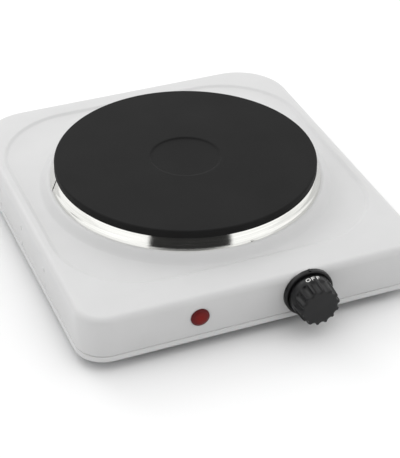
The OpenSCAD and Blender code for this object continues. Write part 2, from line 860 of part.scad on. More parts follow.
module lamp_clip() {
    color([0.7, 0.7, 0.72]) in_body() difference() {
        rod_y(lamp_x, wall_y, wall_y + 0.8, z_dial, 8.5);
        rod_y(lamp_x, wall_y - 1, wall_y + 2, z_dial, lamp_hole_r);
        for (turn = [0:60:300]) {
            translate([lamp_x, wall_y + 0.4, z_dial]) rotate([0, turn, 0])
                box([4, -1, -0.5], [6.8, 1, 0.5]);
        }
    }
}

// ---------------------------------------------------------------- mains side

module terminal_block() {
    high = floor_z + 14;
    color([0.93, 0.91, 0.86]) in_body() difference() {
        union() {
            box([block_x - block_w / 2, block_y - 9, floor_z], [block_x + block_w / 2, block_y + 9, high]);
            for (gap = [-1, 1]) {
                box([block_x + gap * 5 - 0.6, block_y - 9, high - eps],
                    [block_x + gap * 5 + 0.6, block_y + 9, high + 1.5]);
            }
        }
        for (pole = [-1, 0, 1]) {
            rod_z(block_x + pole * 10, block_y - 4, high - 5, high + 1, 2.2);
            rod_z(block_x + pole * 10, block_y + 4, high - 5, high + 1, 2.2);
            rod_y(block_x + pole * 10, block_y + 1, block_y + 10, floor_z + 6.7, 2.2);
        }
    }
}

module terminal_screws() {
    high = floor_z + 14;
    color([0.75, 0.75, 0.76]) in_body() for (pole = [-1, 0, 1], y = [-4, 4]) {
        translate([block_x + pole * 10, block_y + y, 0]) difference() {
            rod_z(0, 0, high - 5, high - 1.5, 2.2);
            box([-2.5, -0.3, high - 2.5], [2.5, 0.3, high]);
        }
    }
}

module earth_terminal() {
    color([0.78, 0.7, 0.45]) in_body() {
        rod_z(earth_x, earth_y, base_z - 1.4, base_z, 3.4);
        rod_z(earth_x, earth_y, base_z - eps, floor_z + 3, 2);
        difference() {
            union() {
                rod_z(earth_x, earth_y, floor_z, floor_z + 0.8, 4.5);
                box([earth_x - 7.5, earth_y - 2, floor_z], [earth_x, earth_y + 2, floor_z + 0.8]);
            }
            rod_z(earth_x, earth_y, floor_z - 1, floor_z + 2, 2);
        }
        translate([earth_x, earth_y, 0]) difference() {
            hexagon(floor_z + 0.8, floor_z + 2.8, 7);
            rod_z(0, 0, floor_z, floor_z + 4, 2);
        }
    }
}

module cord_gland() {
    color([0.12, 0.12, 0.12]) in_body() difference() {
        union() {
            rod_y(block_x, rear_y, rear_y + gland_flange_t, gland_z, 9);
            rod_y(block_x, rear_y - 9, rear_y + eps, gland_z, gland_r);
        }
        rod_y(block_x, rear_y - 10, rear_y + gland_flange_t + 1, gland_z, gland_bore_r);
    }
}

module gland_nut() {
    color([0.12, 0.12, 0.12]) in_body() difference() {
        rod_y(block_x, rear_y - sheet - 4, rear_y - sheet, gland_z, 10);
        rod_y(block_x, rear_y - sheet - 5, rear_y, gland_z, gland_r);
        for (turn = [0:30:330]) {
            translate([block_x, rear_y - sheet - 5, gland_z]) rotate([0, turn, 0])
                rod_y(11, 0, 6, 0, 1.6);
        }
    }
}

// ---------------------------------------------------------------- wiring

module live_wire() {
    color([0.45, 0.28, 0.2]) in_body() wire(live_route, wire_r);
}

module switched_wire() {
    color([0.15, 0.15, 0.15]) in_body() wire(switched_route, wire_r);
}

module element_wire() {
    color([0.15, 0.15, 0.15]) in_body() wire(element_route, wire_r);
}

module neutral_wire() {
    color([0.25, 0.4, 0.65]) in_body() wire(neutral_route, wire_r);
}

module lamp_live_wire() {
    color([0.85, 0.85, 0.82]) in_body() wire(lamp_live_route, lamp_wire_r);
}

module lamp_neutral_wire() {
    color([0.85, 0.85, 0.82]) in_body() wire(lamp_neutral_route, lamp_wire_r);
}

module earth_wire() {
    color([0.75, 0.8, 0.2]) in_body() wire(earth_route, lamp_wire_r);
}

top_housing();
base_plate();
base_screws();
foot_front_left();
foot_front_right();
foot_rear_left();
foot_rear_right();
foot_screws();
front_brace();
rear_brace();
clamp_bracket();
side_rivets();
cast_iron_plate();
trim_ring();
inner_heating_coil();
outer_heating_coil();
insulating_cement();
heater_cover();
element_pins();
ceramic_beads();
coil_links();
centre_stud();
stud_sleeve();
clamp_washer();
clamp_nut();
heat_shield();
thermal_cutout();
cutout_clip();
thermostat_frame();
thermostat_bush();
thermostat_screws();
stack_insulators();
stack_rivet();
contact_blade_root();
fixed_contact_blade();
bimetal_strip();
contact_arm();
push_pin();
spindle();
knob_spring_clip();
knob();
knob_bezel();
lamp_lens();
neon_bulb();
lamp_body();
lamp_clip();
terminal_block();
terminal_screws();
earth_terminal();
cord_gland();
gland_nut();
live_wire();
switched_wire();
element_wire();
neutral_wire();
lamp_live_wire();
lamp_neutral_wire();
earth_wire();
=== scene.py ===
"""Looks of a single electric hot plate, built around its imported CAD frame."""

import json
import math

import bmesh
import bpy
from mathutils import Matrix, Vector


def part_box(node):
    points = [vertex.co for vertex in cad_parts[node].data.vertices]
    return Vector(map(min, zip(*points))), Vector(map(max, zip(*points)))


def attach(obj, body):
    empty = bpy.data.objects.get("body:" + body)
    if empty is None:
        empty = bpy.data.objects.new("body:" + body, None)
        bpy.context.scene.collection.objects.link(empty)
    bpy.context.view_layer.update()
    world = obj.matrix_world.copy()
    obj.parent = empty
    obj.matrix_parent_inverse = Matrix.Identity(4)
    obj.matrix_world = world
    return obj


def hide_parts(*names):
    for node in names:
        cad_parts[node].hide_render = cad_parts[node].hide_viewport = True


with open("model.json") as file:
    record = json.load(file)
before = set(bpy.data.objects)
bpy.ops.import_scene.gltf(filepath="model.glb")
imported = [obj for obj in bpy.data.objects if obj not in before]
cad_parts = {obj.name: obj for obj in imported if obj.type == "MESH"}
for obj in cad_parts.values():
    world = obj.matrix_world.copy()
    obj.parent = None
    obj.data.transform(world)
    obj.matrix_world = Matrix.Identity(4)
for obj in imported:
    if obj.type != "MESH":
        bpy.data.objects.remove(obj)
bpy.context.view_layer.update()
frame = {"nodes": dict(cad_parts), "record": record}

MM = 0.001
TAU = 2 * math.pi

# ---------------------------------------------------------------- places, from the CAD

shell_low, shell_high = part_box("top_housing")
plate_low, plate_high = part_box("cast_iron_plate")
ring_low, ring_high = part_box("trim_ring")
dial_low, dial_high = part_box("knob_bezel")
knob_low, knob_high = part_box("knob")
lens_low, lens_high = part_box("lamp_lens")

# AXIS, KNOB_X and KNOB_Z are places in metres. The other values are sizes in mm from AXIS
# and from the floor.
HEM_OUT = 0.6
AXIS = Vector(((plate_low.x + plate_high.x) / 2, (plate_low.y + plate_high.y) / 2, 0))
HALF_W = shell_high.x / MM - HEM_OUT
FRONT = (shell_low.y - AXIS.y) / MM + HEM_OUT
REAR = (shell_high.y - AXIS.y) / MM - HEM_OUT
FRONT_R = 20
REAR_R = 40
COLLAR_RISE = 4.7
Z_EDGE = shell_low.z / MM
Z_COLLAR = shell_high.z / MM
Z_TOP = Z_COLLAR - COLLAR_RISE
Z_PLATE = plate_high.z / MM
PLATE_R = (plate_high.x - plate_low.x) / 2 / MM
RING_R = (ring_high.x - ring_low.x) / 2 / MM
Z_RING = ring_high.z / MM
Z_FLANGE = Z_PLATE - 8
ROLL_R = 5
SHEET = 0.8

PAN_DEPTH = 1.25
PAN_HALF_W = 114
PAN_FRONT = -107
PAN_REAR = 118
PAN_R = 60
Z_PAN = Z_TOP - PAN_DEPTH
COLLAR_R = 98.2
COLLAR_FOOT_R = 105.1

KNOB_X = (knob_low.x + knob_high.x) / 2
KNOB_Z = (knob_low.z + knob_high.z) / 2
KNOB_LENGTH = (knob_high.y - knob_low.y) / MM
KNOB_R = (knob_high.x - knob_low.x) / 2 / MM
FLUTES = 14
FLUTE_PHASE = math.radians(6.9)
SKIRT = 6.2
FACE_R = KNOB_R - 4.2
SPINDLE_WELL_R = 11.6
SPINDLE_WELL_DEPTH = 15

# Where the trim ring's two ends meet, and half the gap between them.
SEAM_ANGLE = math.radians(173)
SEAM_HALF_WIDTH = math.radians(0.6)

# Strength of the room's light, of its dark opening, and the share left in its greyer stretch.
ROOM_LEVEL = 1.22
ROOM_DARK = 0.03
ROOM_GREY = 0.5


# ---------------------------------------------------------------- mesh helpers

def finish_piece(name, bm, body, nodes, material, sharp=40, origin=(0, 0, 0)):
    """Turns a bmesh into a shown piece that rides on a body and stands for CAD nodes."""
    bmesh.ops.recalc_face_normals(bm, faces=bm.faces)
    for face in bm.faces:
        face.smooth = True
    limit = math.radians(sharp)
    for edge in bm.edges:
        edge.smooth = edge.calc_face_angle(0) < limit
    mesh = bpy.data.meshes.new(name)
    bm.to_mesh(mesh)
    bm.free()
    piece = bpy.data.objects.new(name, mesh)
    bpy.context.scene.collection.objects.link(piece)
    piece.location = origin
    mesh.materials.append(material)
    if body:
        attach(piece, body)
    if nodes:
        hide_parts(*nodes)
    return piece


def loft(bm, rings, closed=False):
    """Quads between rings of points in mm, each ring closed on itself."""
    rows = [[bm.verts.new(Vector(p) * MM) for p in ring] for ring in rings]
    count = len(rows[0])
    pairs = list(zip(rows, rows[1:]))
    if closed:
        pairs.append((rows[-1], rows[0]))
    for low, high in pairs:
        for k in range(count):
            n = (k + 1) % count
            bm.faces.new((low[k], low[n], high[n], high[k]))
    return rows


def cap(bm, row, point):
    """Closes a ring of vertices with a fan round one point in mm."""
    tip = bm.verts.new(Vector(point) * MM)
    for k in range(len(row)):
        bm.faces.new((row[k], row[(k + 1) % len(row)], tip))


def circle(radius, height, steps):
    """Points of one level circle about local Z."""
    angles = [TAU * k / steps for k in range(steps)]
    return [(radius * math.cos(a), radius * math.sin(a), height) for a in angles]


def turned(profile, steps=192):
    """Solid of revolution about local Z from (radius, height) pairs, the end ones at radius 0."""
    bm = bmesh.new()
    rows = loft(bm, [circle(radius, height, steps) for radius, height in profile[1:-1]])
    cap(bm, rows[0], (0, 0, profile[0][1]))
    cap(bm, rows[-1], (0, 0, profile[-1][1]))
    return bm


def turned_band(profile, steps=256):
    """Closed ring of revolution about local Z from a closed loop of (radius, height) pairs."""
    bm = bmesh.new()
    loft(bm, [circle(radius, height, steps) for radius, height in profile], closed=True)
    return bm


def facing_front(bm):
    """Turns local +Z to -Y, so a turned part stands out of the front wall."""
    bmesh.ops.transform(bm, matrix=Matrix.Rotation(math.pi / 2, 4, "X"), verts=bm.verts)
    return bm


# ---------------------------------------------------------------- material helpers

def node_set(name):
    """New material with its node tree, its principled shader and a short way to add nodes."""
    material = bpy.data.materials.new(name)
    material.use_nodes = True
    tree = material.node_tree
    shader = tree.nodes["Principled BSDF"]

    def add(kind, **settings):
        node = tree.nodes.new(kind)
        for key, value in settings.items():
            if key in node.inputs:
                node.inputs[key].default_value = value
            else:
                setattr(node, key, value)
        return node

    return material, tree.links.new, shader, add


def ramp(add, low, high, dark, light):
    """Colour ramp from dark at low to light at high."""
    node = add("ShaderNodeValToRGB")
    node.color_ramp.elements[0].position = low
    node.color_ramp.elements[1].position = high
    node.color_ramp.elements[0].color = (*dark, 1)
    node.color_ramp.elements[1].color = (*light, 1)
    return node


def shaded(colour, factor):
    """Colour made lighter or darker by a factor."""
    return tuple(c * factor for c in colour)


def grey(value):
    """Triple with one value in all three places."""
    return (value, value, value)


def grained(name, colour, spread, roughness, grain, bump, metallic=0.0, stretch=(1, 1, 1),
            specular=0.5):
    """Finish whose colour, gloss and relief vary with two sizes of grain."""
    material, link, shader, add = node_set(name)
    place = add("ShaderNodeTexCoord")
    scaled = add("ShaderNodeMapping")
    scaled.inputs["Scale"].default_value = stretch
    fine = add("ShaderNodeTexNoise", Scale=grain, Detail=6.0, Roughness=0.6)
    broad = add("ShaderNodeTexNoise", Scale=grain / 9, Detail=3.0)
    tint = ramp(add, 0.3, 0.7, shaded(colour, 1 - spread), shaded(colour, 1 + spread))
    gloss = add("ShaderNodeMapRange")
    gloss.inputs["To Min"].default_value = roughness * 0.85
    gloss.inputs["To Max"].default_value = roughness * 1.15
    relief = add("ShaderNodeBump", Strength=bump, Distance=0.0002)
    link(place.outputs["Object"], scaled.inputs["Vector"])
    link(scaled.outputs["Vector"], fine.inputs["Vector"])
    link(scaled.outputs["Vector"], broad.inputs["Vector"])
    link(broad.outputs["Fac"], tint.inputs["Fac"])
    link(fine.outputs["Fac"], gloss.inputs["Value"])
    link(fine.outputs["Fac"], relief.inputs["Height"])
    link(tint.outputs["Color"], shader.inputs["Base Color"])
    link(gloss.outputs["Result"], shader.inputs["Roughness"])
    link(relief.outputs["Normal"], shader.inputs["Normal"])
    shader.inputs["Metallic"].default_value = metallic
    shader.inputs["Specular IOR Level"].default_value = specular
    return material


def cast_iron():
    """Black coated iron, turned in fine concentric rings, with a sandy grain."""
    material, link, shader, add = node_set("black_cast_iron")
    place = add("ShaderNodeTexCoord")
    rings = add("ShaderNodeTexWave", Scale=190.0, Distortion=0.6, Detail=2.0)
    rings.wave_type = "RINGS"
    rings.rings_direction = "Z"
    rings.inputs["Detail Scale"].default_value = 2.5
    sand = add("ShaderNodeTexNoise", Scale=1400.0, Detail=5.0, Roughness=0.65)
    cloud = add("ShaderNodeTexNoise", Scale=26.0, Detail=4.0)
    tint = ramp(add, 0.25, 0.75, grey(0.0095), grey(0.0125))
    gloss = add("ShaderNodeMapRange")
    gloss.inputs["To Min"].default_value = 0.5
    gloss.inputs["To Max"].default_value = 0.68
    turning = add("ShaderNodeBump", Strength=0.12, Distance=0.0001)
    grain = add("ShaderNodeBump", Strength=0.35, Distance=0.0001)
    for texture in (rings, sand, cloud):
        link(place.outputs["Object"], texture.inputs["Vector"])
    link(cloud.outputs["Fac"], tint.inputs["Fac"])
    link(sand.outputs["Fac"], gloss.inputs["Value"])
    link(rings.outputs["Fac"], turning.inputs["Height"])
    link(sand.outputs["Fac"], grain.inputs["Height"])
    link(turning.outputs["Normal"], grain.inputs["Normal"])
    link(tint.outputs["Color"], shader.inputs["Base Color"])
    link(gloss.outputs["Result"], shader.inputs["Roughness"])
    link(grain.outputs["Normal"], shader.inputs["Normal"])
    shader.inputs["Specular IOR Level"].default_value = 0.08
    return material


def polished_ring():
    """Bright rolled stainless strip: streaks run along the strip, round the ring."""
    material, link, shader, add = node_set("polished_stainless")
    place = add("ShaderNodeTexCoord")
    squeeze = add("ShaderNodeMapping")
    squeeze.inputs["Scale"].default_value = (1, 1, 60)
    streaks = add("ShaderNodeTexNoise", Scale=22.0, Detail=4.0)
    waves = add("ShaderNodeTexNoise", Scale=70.0, Detail=2.0)
    tint = ramp(add, 0.3, 0.7, (0.72, 0.72, 0.69), (0.86, 0.86, 0.83))
    gloss = add("ShaderNodeMapRange")
    gloss.inputs["To Min"].default_value = 0.05
    gloss.inputs["To Max"].default_value = 0.14
    relief = add("ShaderNodeBump", Strength=0.05, Distance=0.0004)
    link(place.outputs["Object"], squeeze.inputs["Vector"])
    link(squeeze.outputs["Vector"], streaks.inputs["Vector"])
    link(place.outputs["Object"], waves.inputs["Vector"])
    link(streaks.outputs["Fac"], tint.inputs["Fac"])
    link(streaks.outputs["Fac"], gloss.inputs["Value"])
    link(waves.outputs["Fac"], relief.inputs["Height"])
    link(tint.outputs["Color"], shader.inputs["Base Color"])
    link(gloss.outputs["Result"], shader.inputs["Roughness"])
    link(relief.outputs["Normal"], shader.inputs["Normal"])
    shader.inputs["Metallic"].default_value = 1.0
    return material


def red_lens():
    """Deep red lens with a faceted inside, with painted light: its colour is brighter red towards
    its middle and darker at its rim.
    """
    material, link, shader, add = node_set("red_lens")
    place = add("ShaderNodeTexCoord")
    facets = add("ShaderNodeTexVoronoi", Scale=900.0)
    painted_light_gradient = add("ShaderNodeTexGradient")
    painted_light_gradient.gradient_type = "SPHERICAL"
    spread = add("ShaderNodeMapping")
    spread.inputs["Scale"].default_value = grey(150)
    # Painted light: the lens's middle is painted brighter red and its rim darker.
    tint = ramp(add, 0.0, 0.75, (0.085, 0.009, 0.011), (0.2, 0.004, 0.001))
    relief = add("ShaderNodeBump", Strength=0.15, Distance=0.0002)
    link(place.outputs["Object"], spread.inputs["Vector"])
    link(spread.outputs["Vector"], painted_light_gradient.inputs["Vector"])
    link(painted_light_gradient.outputs["Fac"], tint.inputs["Fac"])
    link(place.outputs["Object"], facets.inputs["Vector"])
    link(facets.outputs["Distance"], relief.inputs["Height"])
    link(tint.outputs["Color"], shader.inputs["Base Color"])
    link(relief.outputs["Normal"], shader.inputs["Normal"])
    shader.inputs["Roughness"].default_value = 0.3
    shader.inputs["Specular IOR Level"].default_value = 0.15
    return material


def neon_glass():
    """Half clear, pinkish glass of the indicator's bulb."""
    material = grained("neon_glass", (0.85, 0.6, 0.48), 0.08, 0.12, 300, 0.02)
    shader = material.node_tree.nodes["Principled BSDF"]
    shader.inputs["Transmission Weight"].default_value = 0.5
    return material


def striped_insulation():
    """Earth wire: yellow sleeve with a green stripe that winds round it."""
    material, link, shader, add = node_set("green_yellow_insulation")
    place = add("ShaderNodeTexCoord")
    bands = add("ShaderNodeTexWave", Scale=70.0, Distortion=0.4)
    tint = ramp(add, 0.45, 0.55, (0.08, 0.3, 0.06), (0.72, 0.68, 0.06))
    link(place.outputs["Object"], bands.inputs["Vector"])
    link(bands.outputs["Fac"], tint.inputs["Fac"])
    link(tint.outputs["Color"], shader.inputs["Base Color"])
    shader.inputs["Roughness"].default_value = 0.5
    return material


LACQUER = grained("white_lacquer", (0.6, 0.6, 0.6), 0.012, 0.45, 420, 0.05, specular=0.35)
IRON = cast_iron()
STAINLESS = polished_ring()
PLASTIC = grained("black_plastic", (0.0075, 0.0075, 0.008), 0.2, 0.3, 900, 0.12, specular=0.28)
PRINT = grained("white_print", (0.78, 0.78, 0.76), 0.05, 0.5, 1200, 0.1)
LENS = red_lens()

FINISHES = {
    "white_lacquer": LACQUER,
    "cast_iron": IRON,
    "stainless_steel": STAINLESS,
    "black_plastic": PLASTIC,
    "red_lens": LENS,
    "neon_glass": neon_glass(),
    "galvanised_steel": grained("galvanised_steel", (0.5, 0.51, 0.52), 0.22, 0.42, 260, 0.12, 0.9),
    "plated_steel": grained("plated_steel", (0.62, 0.62, 0.63), 0.1, 0.28, 700, 0.1, 1.0),
    "black_rubber": grained("black_rubber", (0.024, 0.024, 0.025), 0.2, 0.75, 800, 0.4),
    "element_alloy": grained("element_alloy", (0.34, 0.31, 0.29), 0.2, 0.45, 500, 0.2, 1.0),
    "element_cement": grained("element_cement", (0.66, 0.62, 0.54), 0.12, 0.9, 900, 0.7),
    "ceramic": grained("ceramic", (0.8, 0.77, 0.71), 0.05, 0.5, 900, 0.15),
    "brass": grained("brass", (0.72, 0.55, 0.26), 0.12, 0.3, 600, 0.1, 1.0),
    "contact_bronze": grained("contact_bronze", (0.7, 0.46, 0.26), 0.12, 0.32, 600, 0.1, 1.0),
    "bimetal": grained("bimetal", (0.5, 0.49, 0.47), 0.12, 0.35, 500, 0.12, 1.0, (1, 1, 12)),
    "white_plastic": grained("white_plastic", (0.72, 0.71, 0.67), 0.04, 0.45, 700, 0.1),
    "brown_insulation": grained("brown_insulation", (0.2, 0.09, 0.05), 0.12, 0.5, 700, 0.15),
    "black_insulation": grained("black_insulation", (0.02, 0.02, 0.02), 0.15, 0.5, 700, 0.15),
    "blue_insulation": grained("blue_insulation", (0.05, 0.14, 0.4), 0.12, 0.5, 700, 0.15),
    "white_insulation": grained("white_insulation", (0.7, 0.7, 0.66), 0.05, 0.5, 700, 0.15),
    "green_yellow_insulation": striped_insulation(),
}


# ---------------------------------------------------------------- housing

def reach(angle, half_w, front, rear, front_r, rear_r):
    """Distance from the plate's axis to a rounded outline, in one direction."""
    c, s = abs(math.cos(angle)), math.sin(angle)
    side = rear if s > 0 else front
    radius = rear_r if s > 0 else front_r
    far = min(half_w / max(c, 1e-9), side / s if abs(s) > 1e-9 else 1e9)
    x, y = half_w - radius, abs(side) - radius
    if far * c > x and far * abs(s) > y:
        along = c * x + abs(s) * y
        far = along + math.sqrt(max(0, along * along - x * x - y * y + radius * radius))
    return far


def at_outline(inset, z):
    """Ring that follows the housing's outline, pulled in by inset."""
    return lambda a: (reach(a, HALF_W - inset, FRONT + inset, REAR - inset,
                            FRONT_R - inset, REAR_R - inset), z)


def at_pan(grow, z):
    """Ring that follows the edge of the pressed pan."""
    return lambda a: (reach(a, PAN_HALF_W + grow, PAN_FRONT - grow, PAN_REAR + grow,
                            PAN_R + grow, PAN_R + grow), z)


def at_circle(radius, z):
    """Ring round the plate's axis."""
    return lambda a: (radius, z)


def shell_angles():
    """Directions from the plate's axis, closer together at the four corners."""
    even, per_corner, closest = 288, 20, 0.002
    angles = {TAU * k / even for k in range(even)}
    corners = ((1, FRONT, FRONT_R, -1), (-1, FRONT, FRONT_R, -1),
               (1, REAR, REAR_R, 1), (-1, REAR, REAR_R, 1))
    for side, wall, radius, way in corners:
        x, y = side * (HALF_W - radius), wall - way * radius
        for k in range(per_corner + 1):
            turn = math.pi / 2 * k / per_corner
            px = x + side * radius * math.cos(turn)
            py = y + way * radius * math.sin(turn)
            angles.add(math.atan2(py, px) % TAU)
    ordered = []
    for a in sorted(angles):
        if not ordered or a - ordered[-1] > closest:
            ordered.append(a)
    return ordered


def smooth_step(t):
    """S curve from 0 to 1."""
    return t * t * (3 - 2 * t)


def shell_rings():
    """Section of the pressed sheet, from the plate's opening out, down, and back inside."""
    opening = PLATE_R - 1
    rings = [at_circle(opening, Z_COLLAR - SHEET), at_circle(opening, Z_COLLAR - 0.2),
             at_circle(opening + 0.3, Z_COLLAR), at_circle(COLLAR_R - 0.8, Z_COLLAR)]
    slope = 8
    for k in range(slope + 1):
        t = k / slope
        drop = 0.6 * t + 0.4 * smooth_step(t)
        rings.append(at_circle(COLLAR_R + (COLLAR_FOOT_R - COLLAR_R) * t,
                               Z_COLLAR - (Z_COLLAR - Z_PAN) * drop))
    step, step_in, step_width = 6, 1.7, 3.6
    for k in range(step + 1):
        t = k / step
        rings.append(at_pan(step_width * t - step_in, Z_PAN + PAN_DEPTH * smooth_step(t)))
    rings.append(at_pan(2.3, Z_TOP))
    roll = 9
    for k in range(roll + 1):
        a = math.pi / 2 * k / roll
        rings.append(at_outline(ROLL_R * (1 - math.sin(a)), Z_TOP - ROLL_R * (1 - math.cos(a))))
    hem = [(0, 4.4), (0.06, 4.2), (0.55, 4.1), (0.55, 3.7), (0.1, 3.6), (-0.08, 3.45),
           (-0.18, 3.1), (-HEM_OUT, 1.2), (-HEM_OUT, 0.35), (-0.45, 0.08), (-0.2, 0), (0.5, 0),
           (0.75, 0.15), (SHEET, 0.5)]
    rings += [at_outline(inset, Z_EDGE + height) for inset, height in hem]
    rings.append(at_outline(SHEET, Z_TOP - ROLL_R))
    inner_r, inner_roll = ROLL_R - SHEET, 4
    for k in range(1, inner_roll + 1):
        a = math.pi / 2 * (1 - k / inner_roll)
        rings.append(at_outline(ROLL_R - inner_r * math.sin(a),
                                Z_TOP - SHEET - inner_r * (1 - math.cos(a))))
    rings += [at_pan(1.0, Z_TOP - SHEET), at_pan(-2.4, Z_PAN - SHEET),
              at_circle(COLLAR_FOOT_R - 1.0, Z_PAN - SHEET),
              at_circle(COLLAR_R - 1.2, Z_COLLAR - SHEET)]
    return rings


def housing_shell():
    """White pressed top: collar, pan, rolled edge, walls and hem in one closed skin."""
    angles = shell_angles()
    bm = bmesh.new()
    loops = []
    for ring in shell_rings():
        points = []
        for a in angles:
            radius, z = ring(a)
            points.append((radius * math.cos(a), radius * math.sin(a), z))
        loops.append(points)
    loft(bm, loops, closed=True)
    return finish_piece("housing_shell", bm, "housing", ["top_housing"],
                        LACQUER, sharp=50, origin=AXIS)


# ---------------------------------------------------------------- cooking plate and ring

def cooking_plate():
    """Iron casting with a shallow round recess in its top and ribs below its flange."""
    top = Z_PLATE
    recess_r = 24.4
    recess_floor = top - 0.9
    edge_r = 1.3
    rib_foot = Z_FLANGE - 8
    well_foot = Z_FLANGE - 6
    profile = [(0, recess_floor), (8, recess_floor), (recess_r - 1, recess_floor),
               (recess_r, top - 0.86), (recess_r + 0.5, top - 0.65), (recess_r + 0.8, top - 0.3),
               (recess_r + 1.2, top - 0.08), (recess_r + 1.8, top), (recess_r + 3, top), (60, top),
               (PLATE_R - 2.4, top)]
    for k in range(9):
        a = math.pi / 2 * k / 8
        profile.append((PLATE_R - edge_r * (1 - math.sin(a)), top - 1.1 * (1 - math.cos(a))))
    profile += [(PLATE_R, top - 4), (PLATE_R, Z_FLANGE), (PLATE_R - 2.5, Z_FLANGE),
                (PLATE_R - 2.5, rib_foot), (86, rib_foot), (86, Z_FLANGE), (14, Z_FLANGE),
                (14, well_foot), (4, well_foot), (4, top - 6), (0, top - 6)]
    return finish_piece("cooking_plate", turned(profile), "housing",
                        ["cast_iron_plate"], IRON, sharp=50, origin=AXIS)


def trim_ring_band():
    """Flared strip that stands on the collar, its two ends a small gap apart at the seam."""
    z = Z_COLLAR
    foot = RING_R - PLATE_R
    outside = [(0.04, Z_RING), (0.12, Z_RING - 0.16), (0.3, Z_RING - 0.6), (1.05, Z_RING - 2.35),
               (1.75, Z_RING - 4.2), (2.35, z + 2.6), (2.58, z + 2.25), (2.7, z + 1.9),
               (2.95, z + 1.15), (foot - 0.05, z + 0.25), (foot, z + 0.1), (foot, z)]
    hook_low, hook_high = Z_FLANGE - 0.68, Z_FLANGE - 0.05
    inside = [(2.65, z), (1.75, z + 1.9), (-0.15, hook_low), (-2.4, hook_low),
              (-2.4, hook_high), (0.02, hook_high)]
    section = [(PLATE_R + out, height) for out, height in outside + inside]
    bm = turned_band(section, steps=720)
    gap = []
    for face in bm.faces:
        middle = face.calc_center_median()
        if abs(math.atan2(middle.y, middle.x) - SEAM_ANGLE) < SEAM_HALF_WIDTH:
            gap.append(face)
    bmesh.ops.delete(bm, geom=gap, context="FACES")
    bmesh.ops.holes_fill(bm, edges=[edge for edge in bm.edges if edge.is_boundary], sides=0)
    return finish_piece("trim_ring_band", bm, "housing",
                        ["trim_ring"], STAINLESS, sharp=35, origin=AXIS)


# ---------------------------------------------------------------- knob, dial plate, lamp

def knob_radius(h):
    """Radius of the knob at height h from its back, before its grip flutes."""
    front = KNOB_LENGTH
    stages = [(0, KNOB_R - 0.5), (0.15, KNOB_R - 0.2), (0.5, KNOB_R), (2, KNOB_R),
              (front - 1.0, KNOB_R - 1.0), (front - 0.6, KNOB_R - 1.1),
              (front - 0.3, KNOB_R - 1.3), (front - 0.1, KNOB_R - 1.6), (front, KNOB_R - 2.0)]
    for (h0, r0), (h1, r1) in zip(stages, stages[1:]):
        if h <= h1:
            return r0 + (r1 - r0) * (h - h0) / (h1 - h0)
    return stages[-1][1]


def fluted(radius, angle, share):
    """Radius at one angle with a share of the flute depth taken off."""
    pitch = TAU / FLUTES
    offset = ((angle - FLUTE_PHASE) % pitch) - pitch / 2
    groove_at, groove_r = radius + 1.2, 2.8
    across = groove_at * math.sin(offset)
    if abs(across) >= groove_r:
        return radius
    cut = groove_at * math.cos(offset) - math.sqrt(groove_r ** 2 - across ** 2)
    return radius - max(0, radius - cut) * share


def knob_grip():
    """Black knob: plain skirt behind, fluted grip in front, and a well for the spindle."""
    steps = FLUTES * 18
    front = KNOB_LENGTH
    heights = [0, 0.15, 0.5, 2, 4, SKIRT, 6.6, 7.0, 7.4, 7.8, 8.4, 10, 12, 14,
               front - 1.0, front - 0.6, front - 0.3, front - 0.1, front]
    bm = bmesh.new()
    rings = []
    for h in heights:
        share = smooth_step(min(1, max(0, (h - SKIRT) / 1.8)))
        ring = []
        for k in range(steps):
            a = TAU * k / steps
            radius = fluted(knob_radius(h), a, share)
            ring.append((radius * math.cos(a), radius * math.sin(a), h))
        rings.append(ring)
    rings.append(circle(FACE_R, front, steps))
    rows = loft(bm, rings)
    cap(bm, rows[-1], (0, 0, front))
    back = loft(bm, [circle(SPINDLE_WELL_R + 0.2, 0, steps), circle(SPINDLE_WELL_R, 0.3, steps),
                     circle(SPINDLE_WELL_R, SPINDLE_WELL_DEPTH, steps)])
    for k in range(steps):
        n = (k + 1) % steps
        bm.faces.new((rows[0][k], rows[0][n], back[0][n], back[0][k]))
    cap(bm, back[-1], (0, 0, SPINDLE_WELL_DEPTH))
    return finish_piece("knob_grip", facing_front(bm), "knob", ["knob"],
                        PLASTIC, sharp=42, origin=(KNOB_X, knob_high.y, KNOB_Z))


def strokes_of(letter):
    """Outlines in mm of a generic O, or of a generic F, as lists of quads."""
    if letter == "O":
        count = 28
        ring = []
        for k in range(count):
            pair = []
            for j in (k, k + 1):
                a = TAU * j / count
                pair.append(((1.7 * math.cos(a), 1.5 * math.sin(a)),
                             (1.1 * math.cos(a), 0.95 * math.sin(a))))
            (p, q), (r, s) = pair
            ring.append((p, r, s, q))
        return ring
    bars = [(-1.2, -0.6, -1.5, 1.5), (-0.6, 1.25, 0.96, 1.5), (-0.6, 1.0, -0.24, 0.28)]
    return [((a, c), (b, c), (b, d), (a, d)) for a, b, c, d in bars]


def between(start, end, t):
    """Point at share t of the way from start to end."""
    return tuple(p + (q - p) * t for p, q in zip(start, end))


def dial_lettering():
    """Raised white OFF on the knob's smooth skirt, read from above the front."""
    middle_h, pitch, lift = 4.3, 3.7, 0.07
    bm = bmesh.new()
    for place, letter in enumerate("OFF"):
        shift = (place - 1) * pitch
        parts = 1 if letter == "O" else 6
        for low_left, low_right, high_right, high_left in strokes_of(letter):
            for k in range(parts):
                t0, t1 = k / parts, (k + 1) / parts
                corners = (between(low_left, low_right, t0), between(low_left, low_right, t1),
                           between(high_left, high_right, t1), between(high_left, high_right, t0))
                points = []
                for u, v in corners:
                    h = middle_h - v
                    radius = knob_radius(h) + lift
                    a = (u + shift) / radius
                    place_mm = Vector((radius * math.sin(a), -h, radius * math.cos(a)))
                    points.append(bm.verts.new(place_mm * MM))
                bm.faces.new(points)
    bmesh.ops.remove_doubles(bm, verts=bm.verts, dist=0.000002)
    piece = finish_piece("dial_lettering", bm, "knob", [], PRINT,
                         origin=(KNOB_X, knob_high.y, KNOB_Z))
    thick = piece.modifiers.new("thickness", "SOLIDIFY")
    thick.thickness = 0.12 * MM
    thick.offset = -1
    return piece


